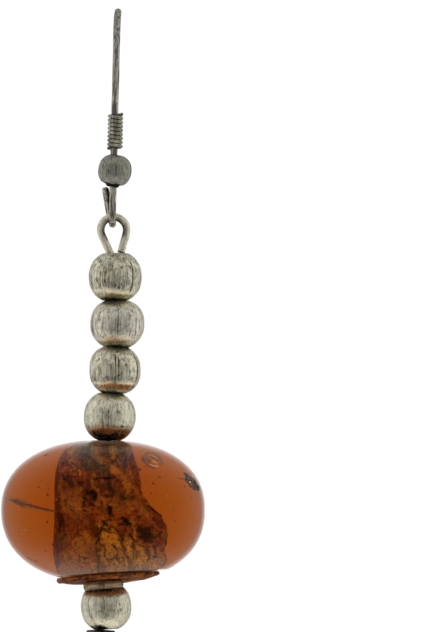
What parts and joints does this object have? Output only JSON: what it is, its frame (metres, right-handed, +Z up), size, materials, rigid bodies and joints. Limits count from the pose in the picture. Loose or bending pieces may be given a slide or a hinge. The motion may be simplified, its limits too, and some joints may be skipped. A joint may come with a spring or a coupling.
{
  "type": "beaded drop earring",
  "caption": "Drop earring: a French ear hook with a wound coil and a ball carries an eye pin strung with tarnished round metal beads and a large oval amber bead on a thin brown disc.",
  "frame": {"origin": "underside of the hook's crest, where the hook hangs in the ear", "axes": "+Z up along the hanging line, -Y the front of the earring, +X right as seen from the front"},
  "size_m": [0.0196, 0.0195, 0.0601],
  "materials": {
    "hook_steel": "dark satin wire",
    "coil_steel": "satin wound wire",
    "ball_steel": "dark streaked satin",
    "pin_metal": "warm grey satin wire",
    "old_silver": "tarnished and scratched silver",
    "amber": "glossy clear amber with dark flaws inside",
    "core_flaws": "dark red-brown flaws with golden patches, sealed in the amber",
    "brown_shell": "glossy translucent brown",
    "washer_metal": "dull worn metal"
  },
  "bodies": {
    "hook": {"ear_hook": "hook_steel", "hook_coil": "coil_steel", "hook_ball": "ball_steel"},
    "drop": {"eye_pin": "pin_metal", "silver_bead_1": "old_silver", "silver_bead_2": "old_silver", "silver_bead_3": "old_silver", "silver_bead_4": "old_silver", "amber_bead": "amber", "dark_core": "core_flaws", "shell_disc": "brown_shell", "spacer_washer": "washer_metal", "end_bead": "old_silver"}
  },
  "joints": [
    {"name": "drop_swing", "type": "hinge", "parent": "hook", "child": "drop", "pos_m": [0, -0.00305, -0.02025], "axis": [0, 1, 0], "range_deg": [-120, 120]}
  ]
}
